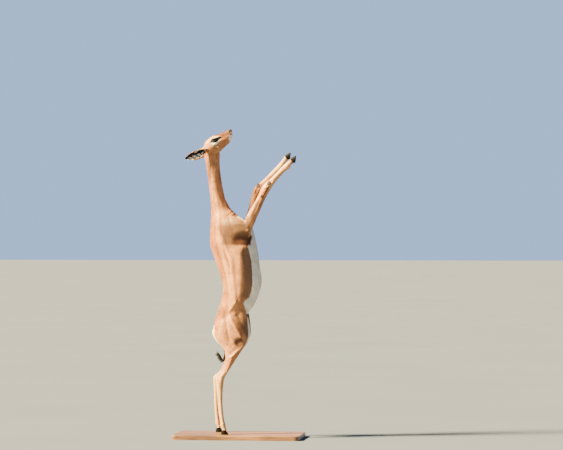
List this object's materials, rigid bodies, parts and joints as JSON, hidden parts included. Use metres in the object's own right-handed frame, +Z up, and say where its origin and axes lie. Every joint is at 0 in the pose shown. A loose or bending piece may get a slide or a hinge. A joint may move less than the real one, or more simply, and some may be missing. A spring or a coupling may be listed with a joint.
{
  "type": "gerenuk",
  "caption": "Life-size long-necked antelope standing upright on its hind legs, head raised and forelegs reaching forward and up, on a plain display base.",
  "frame": {"origin": "middle of the underside of the display base, below the middle of the whole model", "axes": "+Z up, along the standing body; +X the way the animal's belly and forelegs face; +Y towards its left side, with its plane of symmetry at y = 0"},
  "size_m": [0.84, 0.44, 2.0394],
  "materials": {
    "short_coat": "short glossy fawn and rufous hair with a white belly",
    "eye": "wet, glossy, nearly black",
    "hoof": "satin dark horn",
    "stand_wood": "satin stained wood"
  },
  "bodies": {
    "root": {"ear_left": "short_coat", "ear_right": "short_coat", "eye_left": "eye", "eye_right": "eye", "fore_cannon_left": "short_coat", "fore_cannon_right": "short_coat", "foreleg_left": "short_coat", "foreleg_right": "short_coat", "head": "short_coat", "hind_cannon_left": "short_coat", "hind_cannon_right": "short_coat", "hind_leg_left": "short_coat", "hind_leg_right": "short_coat", "hoof_fore_left_inner": "hoof", "hoof_fore_left_outer": "hoof", "hoof_fore_right_inner": "hoof", "hoof_fore_right_outer": "hoof", "hoof_hind_left_inner": "hoof", "hoof_hind_left_outer": "hoof", "hoof_hind_right_inner": "hoof", "hoof_hind_right_outer": "hoof", "neck": "short_coat", "stand_base": "stand_wood", "tail": "short_coat", "torso": "short_coat"}
  },
  "joints": []
}
